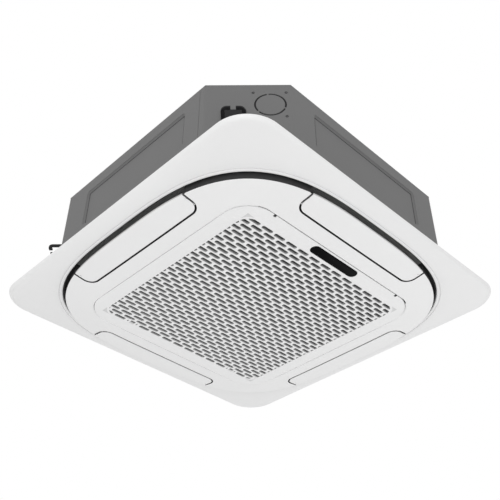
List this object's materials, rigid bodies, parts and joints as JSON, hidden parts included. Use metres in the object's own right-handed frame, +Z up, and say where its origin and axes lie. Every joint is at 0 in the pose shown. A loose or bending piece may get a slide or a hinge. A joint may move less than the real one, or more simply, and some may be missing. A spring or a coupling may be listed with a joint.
{
  "type": "ceiling cassette air conditioner",
  "caption": "Square four-way ceiling cassette indoor unit with a slotted intake grille, air flaps, turbo fan, coil, drain pump and hanger brackets.",
  "frame": {"origin": "centre of the panel in plan, at the lowest face of the intake grille", "axes": "+Z up towards the casing's lid, -Y towards the side with the display, +X to the right seen from that side"},
  "size_m": [0.95, 0.95, 0.305],
  "materials": {
    "panel_white": "fine matt grain",
    "flap_white": "fine matt grain",
    "grille_white": "fine matt grain",
    "duct_dark": "matt moulding",
    "display_black": "polished window",
    "casing_grey": "powder paint",
    "bracket_black": "black paint",
    "zinc_steel": "zinc-coated sheet",
    "foam_white": "expanded polystyrene",
    "gasket_black": "closed-cell foam",
    "coil_fins": "pressed fins",
    "copper_tube": "drawn tube",
    "brass_nut": "machined",
    "fan_plastic": "glass-filled moulding",
    "filter_net": "woven net in a moulded frame",
    "grommet_black": "moulded rubber",
    "circuit_green": "solder mask",
    "device_cream": "moulding"
  },
  "bodies": {
    "unit": {"panel_frame": "panel_white", "centre_ring": "panel_white", "duct_frame": "duct_dark", "grille_hinge_right": "duct_dark", "grille_hinge_left": "duct_dark", "casing_wrap": "casing_grey", "top_plate": "casing_grey", "hanger_bracket_back_right": "bracket_black", "hanger_bracket_back_left": "bracket_black", "hanger_bracket_front_left": "bracket_black", "hanger_bracket_front_right": "bracket_black", "pipe_plate": "zinc_steel", "fan_motor": "zinc_steel", "pump_bracket": "zinc_steel", "control_box": "zinc_steel", "control_cover": "zinc_steel", "foam_liner": "foam_white", "drain_pan": "foam_white", "panel_gasket": "gasket_black", "heat_exchanger": "coil_fins", "coil_end_right": "copper_tube", "coil_end_back": "copper_tube", "gas_pipe": "copper_tube", "liquid_pipe": "copper_tube", "gas_flare_nut": "brass_nut", "liquid_flare_nut": "brass_nut", "bell_mouth": "fan_plastic", "drain_outlet": "fan_plastic", "cable_gland": "grommet_black", "drain_plug": "grommet_black", "control_board": "circuit_green", "drain_pump": "device_cream", "float_switch": "device_cream", "terminal_block": "device_cream", "flap_motor_right": "device_cream", "flap_motor_back": "device_cream", "flap_motor_left": "device_cream", "flap_motor_front": "device_cream"},
    "right_flap": {"flap_right": "flap_white"},
    "back_flap": {"flap_back": "flap_white"},
    "left_flap": {"flap_left": "flap_white"},
    "front_flap": {"flap_front": "flap_white"},
    "grille": {"intake_grille": "grille_white", "air_filter": "filter_net", "display_lens": "display_black", "display_board": "circuit_green"},
    "right_catch": {"grille_catch_right": "grille_white"},
    "left_catch": {"grille_catch_left": "grille_white"},
    "fan": {"turbo_fan": "fan_plastic", "motor_shaft": "zinc_steel", "fan_nut": "brass_nut"},
    "float": {"float_ring": "filter_net"}
  },
  "joints": [
    {"name": "right_flap_tilt", "type": "hinge", "parent": "unit", "child": "right_flap", "pos_m": [0.381, 0, 0.025], "axis": [0, 1, 0], "range_deg": [0, 50]},
    {"name": "back_flap_tilt", "type": "hinge", "parent": "unit", "child": "back_flap", "pos_m": [0, 0.381, 0.025], "axis": [-1, 0, 0], "range_deg": [0, 50]},
    {"name": "left_flap_tilt", "type": "hinge", "parent": "unit", "child": "left_flap", "pos_m": [-0.381, 0, 0.025], "axis": [0, -1, 0], "range_deg": [0, 50]},
    {"name": "front_flap_tilt", "type": "hinge", "parent": "unit", "child": "front_flap", "pos_m": [0, -0.381, 0.025], "axis": [1, 0, 0], "range_deg": [0, 50]},
    {"name": "grille_swing", "type": "hinge", "parent": "unit", "child": "grille", "pos_m": [0, -0.306, 0.0042], "axis": [-1, 0, 0], "range_deg": [0, 80]},
    {"name": "right_catch_slide", "type": "slide", "parent": "grille", "child": "right_catch", "axis": [0, -1, 0], "range_m": [0, 0.006], "stiffness_N_per_m": 300, "springref_m": -0.004},
    {"name": "left_catch_slide", "type": "slide", "parent": "grille", "child": "left_catch", "axis": [0, -1, 0], "range_m": [0, 0.006], "stiffness_N_per_m": 300, "springref_m": -0.004},
    {"name": "fan_spin", "type": "hinge", "parent": "unit", "child": "fan", "pos_m": [0, 0, 0.24], "axis": [0, 0, 1], "continuous": true},
    {"name": "float_rise", "type": "slide", "parent": "unit", "child": "float", "axis": [0, 0, 1], "range_m": [0, 0.008]}
  ]
}
